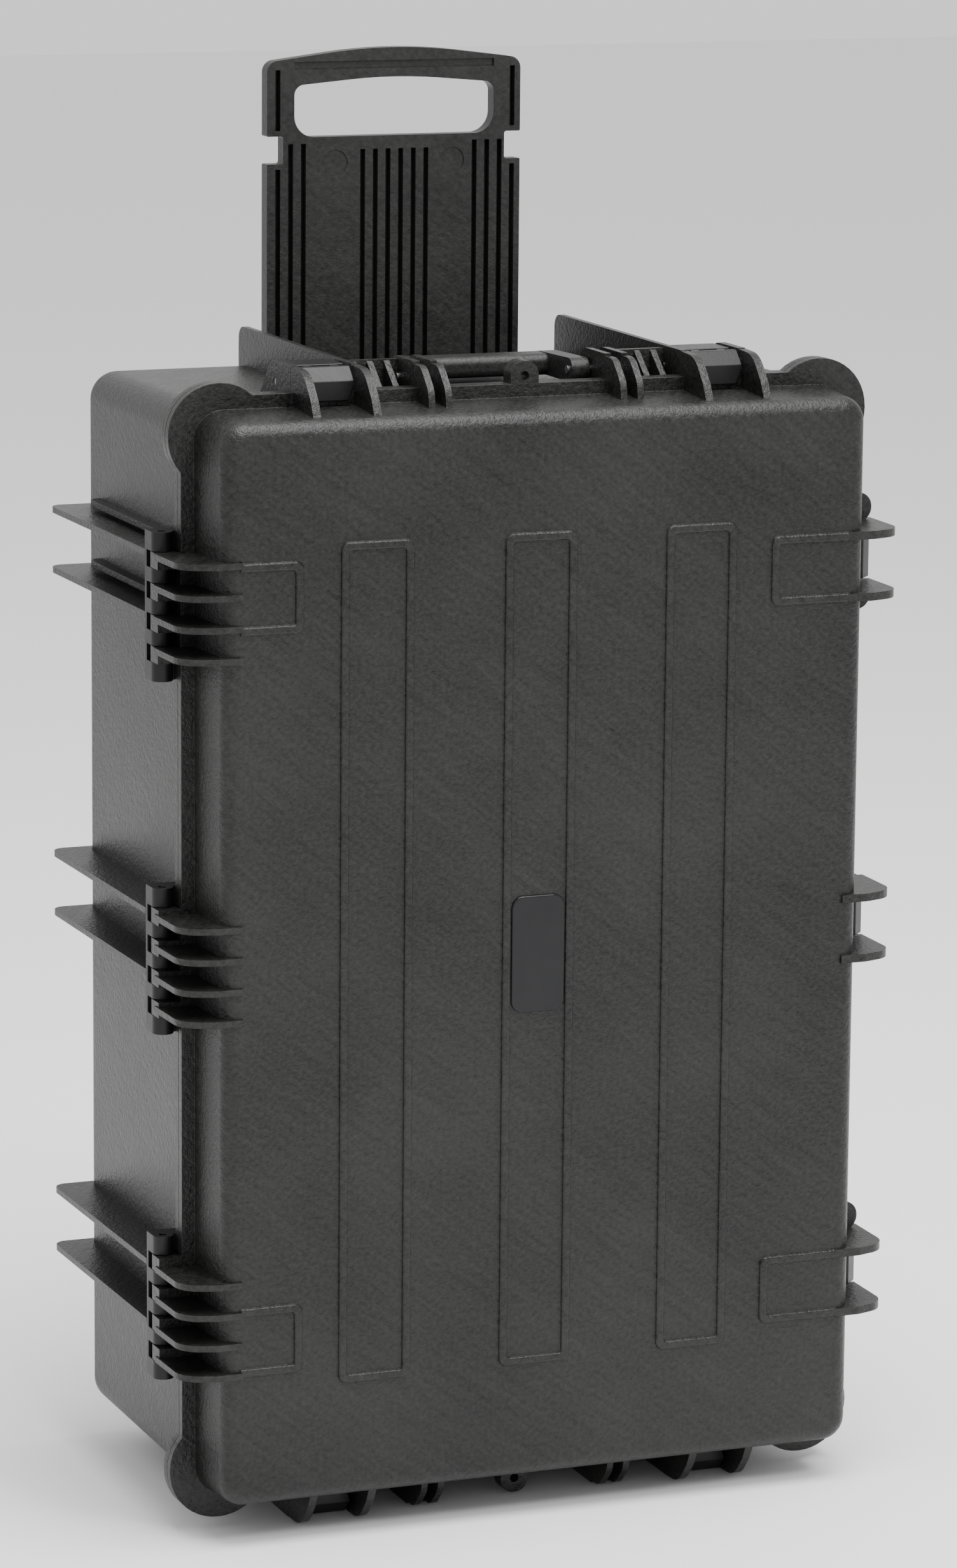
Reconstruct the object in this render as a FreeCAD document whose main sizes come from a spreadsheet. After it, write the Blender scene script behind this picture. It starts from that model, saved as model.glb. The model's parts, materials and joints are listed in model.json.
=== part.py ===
import FreeCAD
import Part
import os
import re
import Sketcher
from FreeCAD import Placement, Rotation, Vector

# Hard equipment case that stands on end: lid in front (-Y), hinges at -X, latches at +X
# and on both short ends, trolley handle and wheels at the back (+Y).
# Below, "deep" runs back from the lid's front face and "out" runs away from a side wall.
sizes = {
    # shells, measured at the parting plane
    "shellWide": 508, "shellTall": 804, "lidDeep": 62, "baseDeep": 248, "wallThick": 4,
    "lidDraft": 4, "baseDraft": 0.3, "cornerRound": 22, "frontRound": 12, "backRound": 16,
    "partGap": 0.4, "flangeThick": 7, "flangeReach": 9.5, "earRound": 38, "earReach": 19,
    "sealWide": 4, "sealDeep": 3, "sealPlay": 0.05,
    # fins, plates and gussets that stand out of the walls
    "finReach": 28, "finThick": 6, "slimThick": 5, "plateThick": 4.6, "plateBack": 2,
    "finFoot": 14, "baseFinLong": 66, "gussetDeep": 26, "gussetPitch": 13,
    # raised beads on the lid's front face
    "beadHigh": 2.2, "beadWide": 6.5, "beadSpan": 56, "beadPitch": 126, "beadHalf": 311,
    "beadShift": 8, "boxLeft": 182, "boxHalf": 26, "badgeWide": 41.5, "badgeTall": 87,
    "badgeThick": 1.8, "beadSink": 0.6,
    # hinges
    "hingePitch": 260, "knucklePitch": 22.75, "knuckleWide": 11.4, "barrelRound": 8,
    "hingeOut": 19, "hingeBack": 8, "hingePin": 3, "pinPlay": 0.05, "hingeGap": 0.4,
    "hingeEnd": 14, "spineBack": 10, "blockBack": 14, "sidePlay": 0.3,
    # latches
    "latchPitch": 273, "latchEnd": 152, "latchHalf": 23, "pivotDeep": 34, "pivotOut": 13,
    "clawDeep": 10, "clawOut": 20, "clawWide": 36, "eyeWide": 14, "armWide": 6,
    "pivotPin": 2.5, "clawPin": 2, "clawGap": 0.3, "clawThick": 5, "eyeRound": 6,
    "leverEye": 7, "coverThick": 3, "coverLong": 30, "clawEye": 3.7,
    # padlock eyes
    "eyeSpan": 22, "eyeBore": 3.3, "eyeHigh": 26, "eyeHole": 15, "eyeOffset": 35, "eyeBelow": 31,
    # carry handles
    "handleDeep": 33, "handleOut": 13, "handleHalf": 64, "armThick": 14, "gripBack": 50,
    "gripDeep": 26, "gripHigh": 16, "handleEye": 9, "handlePin": 3, "bracketIn": 68.2,
    "bracketOut": 81.4, "gripRound": 6,
    # trolley handle and its guide
    "boardHalf": 103, "boardThick": 12, "boardLong": 400, "boardRise": 234, "boardCrown": 10,
    "boardBack": 14, "boardPlay": 0.6, "openHalf": 81, "openTop": 24, "openTall": 40,
    "railThick": 7, "guideLong": 396, "guideSkin": 5, "guideTop": 6, "slotWide": 4, "slotDeep": 8,
    "slotPitch": 10.3, "slotLeft": 94.3, "slotRight": 96.3, "notchDeep": 13, "notchTall": 21,
    "notchDrop": 66, "screwRound": 3, "screwHead": 5.5,
    # wheels
    "wheelRound": 36, "wheelWide": 28, "wheelAt": 150, "wheelBack": 24, "tyreThick": 7,
    "axleRound": 5, "wellWide": 34, "wellPlay": 5,
}

os.makedirs("parts", exist_ok=True)
doc = FreeCAD.newDocument("equipmentCase")
sheet = doc.addObject("Spreadsheet::Sheet", "dims")
for row, (alias, value) in enumerate(sizes.items(), start=1):
    sheet.set(f"A{row}", alias)
    sheet.set(f"B{row}", str(value))
    sheet.setAlias(f"B{row}", alias)
doc.recompute()

sideWall = "shellWide / 2"
endWall = "shellTall / 2"
baseFace = "lidDeep + partGap"
backFace = f"{baseFace} + baseDeep"
guideDeep = "boardBack + boardThick + boardPlay + guideSkin"
midDeep = f"({backFace} + {guideDeep} - beadHigh) / 2"
standHigh = "shellTall / 2 + finReach"
hingeDeep = "lidDeep + hingeBack"
walls = {
    "top": (Rotation(), endWall),
    "bottom": (Rotation(Vector(0, 1, 0), 180), endWall),
    "right": (Rotation(Vector(0, 1, 0), 90), sideWall),
    "left": (Rotation(Vector(0, 1, 0), -90), sideWall),
}
subParts = []


def bound(expression):
    return re.sub(r"[A-Za-z]\w*",
                  lambda found: "dims." + found.group() if found.group() in sizes else found.group(),
                  str(expression))


def measure(expression):
    return float(sheet.evalExpression(bound(expression)))


def settle(piece, x, y, z, turn=Rotation()):
    # every leaf solid is shifted from the case's own centre to the standing frame
    piece.Placement = Placement(Vector(), turn)
    piece.setExpression(".Placement.Base.x", bound(x))
    piece.setExpression(".Placement.Base.y", bound(f"({y}) - ({midDeep})"))
    piece.setExpression(".Placement.Base.z", bound(f"({z}) + {standHigh}"))
    return piece


def onWall(piece, wall, along, deep="0", out="0"):
    # local X runs along the wall, local Y runs back and local Z runs out of the wall
    turn, reach = walls[wall]
    across, outward = turn.multVec(Vector(1, 0, 0)), turn.multVec(Vector(0, 0, 1))
    x = f"{across.x:.0f} * ({along}) + {outward.x:.0f} * ({reach} + {out})"
    z = f"{across.z:.0f} * ({along}) + {outward.z:.0f} * ({reach} + {out})"
    return settle(piece, x, deep, z, turn)


def box(name, x, y, z, wall=None, along="0"):
    # x, y and z are (start, length) pairs
    piece = doc.addObject("Part::Box", name)
    for side, (start, length) in zip(("Length", "Width", "Height"), (x, y, z)):
        piece.setExpression(side, bound(length))
    if wall:
        return onWall(piece, wall, f"{along} + ({x[0]})", y[0], z[0])
    return settle(piece, x[0], y[0], z[0])


def rod(name, radius, length, axis, x, y, z, wall=None, along="0"):
    piece = doc.addObject("Part::Cylinder", name)
    piece.setExpression("Radius", bound(radius))
    piece.setExpression("Height", bound(length))
    turn = Rotation(Vector(0, 0, 1), axis)
    if wall:
        onWall(piece, wall, f"{along} + ({x})", y, z)
        piece.Placement = Placement(Vector(), walls[wall][0] * turn)
        return piece
    return settle(piece, x, y, z, turn)


def outline(sketch, points):
    # closed loop of (x, y, rounding) corners, each bound to the sheet
    first = sketch.GeometryCount
    spots = [Vector(measure(x), measure(y), 0) for x, y, rounding in points]
    count = len(points)
    for index in range(count):
        sketch.addGeometry(Part.LineSegment(spots[index], spots[(index + 1) % count]), False)
    for index in range(count):
        sketch.addConstraint(Sketcher.Constraint("Coincident", first + index, 2,
                                                 first + (index + 1) % count, 1))
    for index, (x, y, rounding) in enumerate(points):
        for kind, value, number in (("DistanceX", x, spots[index].x), ("DistanceY", y, spots[index].y)):
            made = sketch.addConstraint(Sketcher.Constraint(kind, -1, 1, first + index, 1, number))
            sketch.setExpression(f"Constraints[{made}]", bound(value))
    for index, (x, y, rounding) in enumerate(points):
        if rounding is None:
            continue
        known = sketch.GeometryCount
        sketch.fillet(first + (index - 1) % count, 2, measure(rounding), True, True)
        made = sketch.addConstraint(Sketcher.Constraint("Radius", known, measure(rounding)))
        sketch.setExpression(f"Constraints[{made}]", bound(rounding))


def rectangle(halfX, halfY, rounding, midX="0", midY="0"):
    return [(f"{midX} - ({halfX})", f"{midY} - ({halfY})", rounding),
            (f"{midX} + ({halfX})", f"{midY} - ({halfY})", rounding),
            (f"{midX} + ({halfX})", f"{midY} + ({halfY})", rounding),
            (f"{midX} - ({halfX})", f"{midY} + ({halfY})", rounding)]


def profile(name, points, *holes):
    # a free sketch whose x is deep and y is out, for fins and links
    sketch = doc.addObject("Sketcher::SketchObject", name)
    for loop in (points, *holes):
        outline(sketch, loop)
    return sketch


def ribs(name, sketch, thick, wall, along, deep="0", out="0"):
    # the profile extruded along the wall, centred on "along"
    piece = doc.addObject("Part::Extrusion", name)
    piece.Base = sketch
    piece.DirMode = "Custom"
    piece.Dir = Vector(0, 0, 1)
    piece.Solid = True
    piece.setExpression("LengthFwd", bound(thick))
    onWall(piece, wall, f"{along} - ({thick}) / 2", deep, out)
    # the sketch's x and y become the wall's deep and out
    turned = Rotation(Vector(0, 1, 0), Vector(0, 0, 1), Vector(1, 0, 0), "XYZ")
    piece.Placement = Placement(Vector(), walls[wall][0] * turned)
    return piece


def plate(name, sketch, thick, deep, wall=None, along="0", level="0"):
    # the sketch stands upright and is extruded forward from "deep"
    piece = doc.addObject("Part::Extrusion", name)
    piece.Base = sketch
    piece.DirMode = "Custom"
    piece.Dir = Vector(0, 0, 1)
    piece.Solid = True
    piece.setExpression("LengthFwd", bound(thick))
    upright = Rotation(Vector(1, 0, 0), 90)
    if wall:
        onWall(piece, wall, along, deep)
        piece.Placement = Placement(Vector(), walls[wall][0] * upright)
        return piece
    return settle(piece, "0", deep, level, upright)


def fuse(name, pieces):
    piece = doc.addObject("Part::MultiFuse", name)
    piece.Shapes = pieces
    piece.Refine = False
    return piece


def cut(name, base, tools):
    piece = doc.addObject("Part::Cut", name)
    piece.Base = base
    piece.Tool = tools[0] if len(tools) == 1 else fuse(name + "Tools", tools)
    piece.Refine = False
    return piece


def group(name, pieces):
    piece = doc.addObject("Part::Compound", name)
    piece.Links = pieces
    return piece


def publish(piece, label):
    piece.Label = label
    subParts.append(piece)
    return piece


def originPlane(body, role):
    return next(feature for feature in body.Origin.OriginFeatures if feature.Role == role)


def frontSketch(body, name, deep, *loops):
    # the sketch faces the lid's front, at a given depth behind it
    sketch = body.newObject("Sketcher::SketchObject", name)
    sketch.AttachmentSupport = (originPlane(body, "XZ_Plane"), "")
    sketch.MapMode = "FlatFace"
    sketch.setExpression("AttachmentOffset.Base.z", bound(f"-({deep})"))
    for loop in loops:
        outline(sketch, loop)
    return sketch


def pad(body, name, sketch, length, backward=False, draft=None):
    feature = body.newObject("PartDesign::Pad", name)
    feature.Profile = sketch
    feature.Reversed = backward
    feature.setExpression("Length", bound(length))
    if draft:
        feature.setExpression("TaperAngle", bound(draft))
    return feature


def roundEdges(body, name, radius, wanted):
    # fillets the edges of the body's present shape that the test accepts
    doc.recompute()
    base = body.Tip
    names = [f"Edge{number}" for number, edge in enumerate(base.Shape.Edges, start=1) if wanted(edge)]
    feature = body.newObject("PartDesign::Fillet", name)
    feature.Base = (base, names)
    feature.setExpression("Radius", bound(radius))
    doc.recompute()
    return feature


def draftedBody(name, deep, backward, length, draft, edgeRound, inset="0"):
    # drafted block with a rounded far face
    body = doc.addObject("PartDesign::Body", name)
    settle(body, "0", "0", "0")
    plan = frontSketch(body, name + "Outline", deep, rectangle(
        f"{sideWall} - {inset}", f"{endWall} - {inset}", f"cornerRound - {inset}"))
    pad(body, name + "Pad", plan, length, backward, f"-{draft}")
    doc.recompute()
    farY = measure(f"{deep} + {length}" if backward else f"{deep} - ({length})")
    roundEdges(body, name + "Round", edgeRound, lambda edge: all(
        abs(vertex.Y - farY) < 0.01 for vertex in edge.Vertexes))
    return body


def shellBody(name, deep, backward, length, draft, edgeRound):
    # the block with a flange and four corner ears round its parting plane
    body = draftedBody(name, deep, backward, length, draft, edgeRound)
    rim = frontSketch(body, name + "RimOutline", deep,
                      rectangle(f"{sideWall} + flangeReach", f"{endWall} + flangeReach", "cornerRound"))
    pad(body, name + "Rim", rim, "flangeThick", backward)
    for index, (signX, signZ) in enumerate(((1, 1), (-1, 1), (-1, -1), (1, -1))):
        x = f"{signX} * ({sideWall} + earReach - earRound)"
        z = f"{signZ} * ({endWall} + earReach - earRound)"
        ear = frontSketch(body, f"{name}EarOutline{index}", deep,
                          rectangle("earRound", "earRound", "earRound - 0.5", x, z))
        pad(body, f"{name}Ear{index}", ear, "flangeThick", backward)
    return body


# lid shell: drafted tray and raised beads
lidTray = shellBody("lidTray", "lidDeep", False, "lidDeep", "lidDraft", "frontRound")
beadLoops = []
for step in (-1, 0, 1):
    mid = f"{step} * beadPitch - beadShift"
    beadLoops.append(rectangle("beadSpan / 2", "beadHalf", "beadWide", mid))
    beadLoops.append(rectangle("beadSpan / 2 - beadWide", "beadHalf - beadWide", "2", mid))
beads = frontSketch(lidTray, "beadOutline", "beadSink", *beadLoops)
pad(lidTray, "beadPad", beads, "beadHigh + beadSink")
# open-ended bead boxes that run into the latch fins on the right and the hinge fins on the left
boxLoops = []
for side, level in ((1, "latchPitch"), (1, "-latchPitch"), (-1, "latchPitch"), (-1, "-latchPitch")):
    near = f"{side} * boxLeft - beadShift"
    far = f"{side} * ({sideWall} - frontRound - 4)"
    inner = f"{side} * (boxLeft + beadWide) - beadShift"
    loop = [(near, f"{level} - boxHalf", "beadWide"), (far, f"{level} - boxHalf", None),
            (far, f"{level} - boxHalf + beadWide", None), (inner, f"{level} - boxHalf + beadWide", "2"),
            (inner, f"{level} + boxHalf - beadWide", "2"), (far, f"{level} + boxHalf - beadWide", None),
            (far, f"{level} + boxHalf", None), (near, f"{level} + boxHalf", "beadWide")]
    boxLoops.append(loop)
boxes = frontSketch(lidTray, "boxOutline", "beadSink", *boxLoops)
pad(lidTray, "boxPad", boxes, "beadHigh + beadSink")
beadFace = -measure("beadHigh")
roundEdges(lidTray, "beadRound", "beadHigh * 0.85", lambda edge: all(
    abs(vertex.Y - beadFace) < 0.01 for vertex in edge.Vertexes))

# fin profiles, as (deep, out) corners
lidDrop = "lidDeep * tan(lidDraft)"
endFin = profile("endFin", [("lidDeep", "-wallThick / 2", None), ("lidDeep", "finReach - 0.5", None),
                            ("lidDeep - 26", "finReach - 1.5", "26"), ("finFoot + 6", "8", "20"),
                            ("finFoot", f"-{lidDrop} * 0.8", None),
                            ("finFoot + 4", f"-{lidDrop} * 0.8 - 2", None)])
wrapFin = profile("wrapFin", [("lidDeep", "-wallThick / 2", None), ("lidDeep", "finReach", None),
                              ("6", "finReach - 1", "20"), ("-beadHigh", "2", "8"),
                              ("-beadHigh", "-frontRound - 6", None), ("2", "-frontRound - 6", None),
                              ("10", f"-{lidDrop} - 1", None)])
slimFin = profile("slimFin", [("lidDeep", "-wallThick / 2", None), ("lidDeep", "finReach - 2", None),
                              ("lidDeep - 14", "finReach - 2", "14"), ("lidDeep - 30", "10", "16"),
                              ("lidDeep - 32", "-4", None), ("lidDeep - 28", "-6", None)])
baseFin = profile("baseFin", [(baseFace, "-wallThick / 2", None), (baseFace, "finReach", None),
                              (f"{baseFace} + baseFinLong - 24", "finReach", "16"),
                              (f"{baseFace} + baseFinLong", "0", None),
                              (f"{baseFace} + baseFinLong", "-3", None)])
sideBaseFin = profile("sideBaseFin", [(baseFace, "-wallThick / 2", None), (baseFace, "finReach - 4", None),
                                      (f"{baseFace} + baseFinLong - 24", "finReach - 4", "14"),
                                      (f"{baseFace} + baseFinLong", "0", None),
                                      (f"{baseFace} + baseFinLong", "-3", None)])
plateEnd = f"{backFace} - plateBack"
longPlate = profile("longPlate", [(baseFace, "-wallThick / 2", None), (baseFace, "finReach", None),
                                  (plateEnd, "finReach", "10"), (plateEnd, "-backRound - 4", None),
                                  (f"{plateEnd} - 12", "-baseDeep * tan(baseDraft) - 1", None)])
hingePlate = profile("hingePlate", [(f"{hingeDeep} + blockBack + 0.2", "-wallThick / 2", None),
                                    (f"{hingeDeep} + blockBack + 0.2", "finReach - 1", None),
                                    (plateEnd, "finReach", "10"), (plateEnd, "-backRound - 4", None),
                                    (f"{plateEnd} - 12", "-baseDeep * tan(baseDraft) - 1", None)])
hingeLip = profile("hingeLip", [(f"{hingeDeep} + blockBack + 0.2", "-2", None),
                                (f"{hingeDeep} + blockBack + 0.2", "8", "3"),
                                (f"{backFace} - 36", "8", "7"), (f"{backFace} - 36", "-4", None)])
gussetFin = profile("gussetFin", [(f"{baseFace} + flangeThick", "4", None),
                                  (f"{baseFace} + flangeThick + gussetDeep", "finReach - 3", None),
                                  (f"{baseFace} + flangeThick + gussetDeep", "-2", None),
                                  (f"{baseFace} + flangeThick", "-2", None)])
eyeTab = profile("eyeTab", [("-eyeSpan / 2", "-2", None), ("eyeSpan / 2", "-2", None),
                            ("eyeSpan / 2", "eyeHigh", "eyeSpan / 2 - 0.5"),
                            ("-eyeSpan / 2", "eyeHigh", "eyeSpan / 2 - 0.5")])

# where the fins stand along each wall
endLatches = {"top_left": ("top", "-latchEnd"), "top_right": ("top", "latchEnd"),
              "bottom_left": ("bottom", "latchEnd"), "bottom_right": ("bottom", "-latchEnd")}
sideLatches = {"side_upper": ("right", "-latchPitch"), "side_middle": ("right", "0"),
               "side_lower": ("right", "latchPitch")}
latches = {**endLatches, **sideLatches}
# each hinge's level, and how far its fins sit off the middle of their knuckles
hinges = {"upper": ("hingePitch", "3.4"), "middle": ("0", "0"), "lower": ("-hingePitch", "-3.4")}
eyes = [("top", "0"), ("bottom", "0"), ("right", "-latchPitch - eyeOffset"),
        ("right", "-latchPitch + eyeBelow"),
        ("right", "latchPitch - eyeOffset")]


def knuckleSpots(level):
    # lid knuckles stand half a pitch either side of the hinge's middle
    return [f"{level} + ({step}) * knucklePitch" for step in (-1.5, -0.5, 0.5, 1.5)]


lidHollow = draftedBody("lidHollow", "lidDeep", False, "lidDeep - wallThick", "lidDraft",
                        "frontRound - wallThick", "wallThick")
# fins, plates, gussets and knuckles that stand out of each shell
lidPieces = []
basePieces = []
for name, (wall, along) in endLatches.items():
    for step in (-1, 1):
        lidPieces.append(ribs(f"lidFin_{name}_{step + 1}", endFin, "finThick", wall,
                              f"{along} + {step} * latchHalf"))
        inner = (step > 0) == (along == "-latchEnd")
        basePieces.append(ribs(f"baseFin_{name}_{step + 1}", longPlate if inner else baseFin,
                               "plateThick" if inner else "finThick", wall, f"{along} + {step} * latchHalf"))
for name, (wall, along) in sideLatches.items():
    for step in (-1, 1):
        lidPieces.append(ribs(f"lidFin_{name}_{step + 1}", wrapFin, "finThick", wall,
                              f"{along} + {step} * latchHalf"))
        basePieces.append(ribs(f"baseFin_{name}_{step + 1}", sideBaseFin, "finThick", wall,
                               f"{along} + {step} * latchHalf"))
for wall in ("top", "bottom"):
    for index, along in enumerate(("-bracketOut", "-bracketIn", "bracketIn", "bracketOut")):
        lidPieces.append(ribs(f"lidSlim_{wall}_{index}", slimFin, "slimThick", wall, along))
        basePieces.append(ribs(f"bracket_{wall}_{index}", baseFin, "slimThick", wall, along))
    for side in (-1, 1):
        # stiffening wall with three gussets between the latch and the handle bracket
        near, far = "bracketOut", "latchEnd - latchHalf"
        start = near if side > 0 else f"-({far})"
        basePieces.append(box(f"stiffener_{wall}_{side + 1}", (start, f"{far} - {near}"),
                              (f"{baseFace} + flangeThick + gussetDeep", "plateThick"),
                              ("-2", "finReach"), wall))
        for step in (-1, 0, 1):
            basePieces.append(ribs(f"gusset_{wall}_{side + 1}_{step + 1}", gussetFin, "plateThick", wall,
                                   f"{side} * ({near} + {far}) / 2 + {step} * gussetPitch"))
# each eyelet is a tab on both flanges
tabs = {shell: [plate(f"eye_{shell}", eyeTab, "flangeThick", f"{deep} + flangeThick", wall, along)
                for wall, along in eyes]
        for shell, deep in (("lid", "lidDeep - flangeThick"), ("base", baseFace))}

# hinges: lid knuckles and fins, base plates behind the dark hinge blocks
knuckleWeb = profile("knuckleWeb", [("lidDeep - flangeThick", "-1", None), ("lidDeep", "-1", None),
                                    ("lidDeep", "hingeOut - barrelRound - 0.5", None),
                                    (hingeDeep, "hingeOut - barrelRound", None),
                                    (hingeDeep, "hingeOut + barrelRound", None),
                                    ("lidDeep - flangeThick", "hingeOut + barrelRound", None)])
hingeBores = []
for hinge, (level, shift) in hinges.items():
    for index, along in enumerate(knuckleSpots(level)):
        lidPieces.append(ribs(f"hingeFin_{hinge}_{index}", wrapFin, "plateThick", "left",
                              f"{along} + {shift}"))
        lidPieces.append(ribs(f"hingeWeb_{hinge}_{index}", knuckleWeb, "knuckleWide", "left", along))
        lidPieces.append(rod(f"knuckle_{hinge}_{index}", "barrelRound", "knuckleWide", Vector(1, 0, 0),
                             "-knuckleWide / 2", hingeDeep, "hingeOut", "left", along))
        if index % 2:
            basePieces.append(ribs(f"plate_{hinge}_{index}", hingePlate, "plateThick", "left",
                                   f"{along} + {shift}"))
    hingeBores.append(rod(f"hingeBore_{hinge}", "hingePin + pinPlay", "6 * knucklePitch", Vector(1, 0, 0),
                          "-3 * knucklePitch", hingeDeep, "hingeOut", "left", level))
for index in (1, 3):
    basePieces.append(ribs(f"lip_{index}", hingeLip, "plateThick", "left",
                           f"{knuckleSpots('hingePitch')[index]} + 12"))


def eyeBores(shell):
    return [rod(f"eyeBore_{shell}_{index}", "eyeBore", "60", Vector(0, 1, 0), "0", "lidDeep - 30", "eyeHole",
                wall, along) for index, (wall, along) in enumerate(eyes)]


# the seal's groove runs round the flange's face
grooveRing = profile("grooveRing", rectangle(f"{sideWall} + sealWide", f"{endWall} + sealWide",
                                             "cornerRound"),
                     rectangle(sideWall, endWall, "cornerRound - sealWide"))
groove = plate("sealGroove", grooveRing, "sealDeep + 1", "lidDeep + 1")
publish(cut("lidShell", cut("lidOpenTray", lidTray, [lidHollow]), [groove]), "lid_shell")
# the ribs end where the shell begins, and the eyelet tabs where either begins
lidRibs = fuse("lidRibBlanks", lidPieces)
publish(cut("lidRibs", lidRibs, [lidTray, *hingeBores]), "lid_ribs")
publish(cut("lidTabs", fuse("lidTabBlanks", tabs["lid"]), [lidTray, lidRibs, *eyeBores("lid")]),
        "lid_eyelets")

# base shell: deep tray with wheel wells in its lower back corners
baseTray = shellBody("baseTray", baseFace, True, "baseDeep", "baseDraft", "backRound")
baseHollow = draftedBody("baseHollow", baseFace, True, "baseDeep - wallThick", "baseDraft",
                         "backRound - wallThick", "wallThick")
shellPieces = [cut("baseOpenTray", baseTray, [baseHollow])]
axleDeep = f"{backFace} - wheelBack"
floorLevel = f"-({endWall}) - finReach"
axleLevel = f"{floorLevel} + wheelRound"
wells = []
shellBores = []
ribBores = []
for side, name in ((-1, "left"), (1, "right")):
    x = f"{side} * wheelAt - wellWide / 2"
    y = f"{axleDeep} - wheelRound - wellPlay"
    z = f"-({endWall}) - 1"
    deep = "wheelBack + wheelRound + wellPlay"
    high = "2 * wheelRound + wellPlay - finReach + 1"
    shellPieces.append(box(f"wellShell_{name}", (f"{x} - wallThick", "wellWide + 2 * wallThick"),
                           (f"{y} - wallThick", f"{deep} + wallThick - backRound * 0.3"),
                           (f"{z} + backRound * 0.4 + 1", f"{high} + wallThick - backRound * 0.4 - 1")))
    wells.append(box(f"well_{name}", (x, "wellWide"), (y, f"{deep} + 1"), (z, high)))
    shellBores.append(rod(f"axleBore_{name}", "axleRound + pinPlay", "wellWide + 2 * wallThick + 2",
                          Vector(1, 0, 0), f"{x} - wallThick - 1", axleDeep, axleLevel))
for name, (wall, along) in latches.items():
    ribBores.append(rod(f"pivotBore_{name}", "pivotPin + pinPlay", "2 * latchHalf + 2 * finThick",
                        Vector(1, 0, 0), "-latchHalf - finThick", "lidDeep + pivotDeep", "pivotOut", wall,
                        along))
pinReach = "bracketOut + slimThick / 2 + 1"
for wall in ("top", "bottom"):
    ribBores.append(rod(f"handleBore_{wall}", "handlePin + pinPlay", f"2 * ({pinReach})", Vector(1, 0, 0),
                        f"-({pinReach})", "lidDeep + handleDeep", "handleOut", wall))
screwSpots = [(f"{side} * (boardHalf + boardPlay + railThick + 10)", f"{endWall} - guideTop - {drop}")
              for side in (-1, 1) for drop in ("24", "guideLong / 2", "guideLong + 24")]
for index, (x, z) in enumerate(screwSpots):
    shellBores.append(rod(f"screwBore{index}", "screwRound + pinPlay", "wallThick + 12", Vector(0, 1, 0),
                          x, f"{backFace} - wallThick - 6", z))
publish(cut("baseShell", fuse("baseBlank", shellPieces), wells + shellBores), "base_shell")
baseRibs = fuse("baseRibBlanks", basePieces)
publish(cut("baseRibs", baseRibs, [baseTray, *wells, *ribBores]), "base_ribs")
publish(cut("baseTabs", fuse("baseTabBlanks", tabs["base"]), [baseTray, baseRibs, *eyeBores("base")]),
        "base_eyelets")

# dark hinge blocks fill the gaps between the lid's knuckles, on steel pins
for hinge, (level, shift) in hinges.items():
    pieces = [box(f"spine_{hinge}", ("-2 * knucklePitch - hingeEnd + knucklePitch / 2",
                                     "3 * knucklePitch + 2 * hingeEnd"),
                  (f"{hingeDeep} + spineBack", "blockBack - spineBack"),
                  ("0.1", "hingeOut + barrelRound - 0.1"), "left", level)]
    half = "((knucklePitch - knuckleWide) / 2 - hingeGap)"
    last = "1.5 * knucklePitch + knuckleWide / 2 + hingeGap"
    segments = [(f"{step} * knucklePitch - {half}", f"2 * {half}") for step in (-1, 0, 1)]
    segments += [(last, "hingeEnd"), (f"-({last}) - hingeEnd", "hingeEnd")]
    for index, (start, wide) in enumerate(segments):
        pieces.append(rod(f"segment_{hinge}_{index}", "barrelRound", wide, Vector(1, 0, 0), start, hingeDeep,
                          "hingeOut", "left", level))
        pieces.append(box(f"arm_{hinge}_{index}", (start, wide), (hingeDeep, "blockBack"),
                          ("0.1", "hingeOut + barrelRound - 0.1"), "left", level))
    bore = rod(f"blockBore_{hinge}", "hingePin + pinPlay", "6 * knucklePitch", Vector(1, 0, 0),
               "-3 * knucklePitch", hingeDeep, "hingeOut", "left", level)
    publish(cut(f"hingeBlock_{hinge}", fuse(f"hingeBlank_{hinge}", pieces), [bore]), f"hinge_block_{hinge}")
    reach = "1.5 * knucklePitch + knuckleWide / 2 + hingeGap + hingeEnd - 2"
    publish(rod(f"hingeRod_{hinge}", "hingePin", f"2 * ({reach})", Vector(1, 0, 0), f"-({reach})", hingeDeep,
                "hingeOut", "left", level), f"hinge_pin_{hinge}")

# rubber seal in the lid's groove
seal = doc.addObject("PartDesign::Body", "seal")
settle(seal, "0", "0", "0")
ring = frontSketch(seal, "sealRing", "lidDeep - 0.1",
                   rectangle(f"{sideWall} + sealWide - sealPlay", f"{endWall} + sealWide - sealPlay",
                             "cornerRound - sealPlay"),
                   rectangle(f"{sideWall} + sealPlay", f"{endWall} + sealPlay",
                             "cornerRound - sealWide + sealPlay"))
pad(seal, "sealPad", ring, "sealDeep - 0.1 - sealPlay")
publish(seal, "lid_seal")

# blank domed badge on the middle bead
badge = doc.addObject("PartDesign::Body", "badge")
settle(badge, "0", "0", "0")
face = frontSketch(badge, "badgeOutline", "0", rectangle("badgeWide / 2", "badgeTall / 2", "9", "-beadShift"))
pad(badge, "badgePad", face, "badgeThick")
badgeFront = -measure("badgeThick")
roundEdges(badge, "badgeDome", "badgeThick * 0.7", lambda edge: all(
    abs(vertex.Y - badgeFront) < 0.01 for vertex in edge.Vertexes))
publish(badge, "badge")

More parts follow.
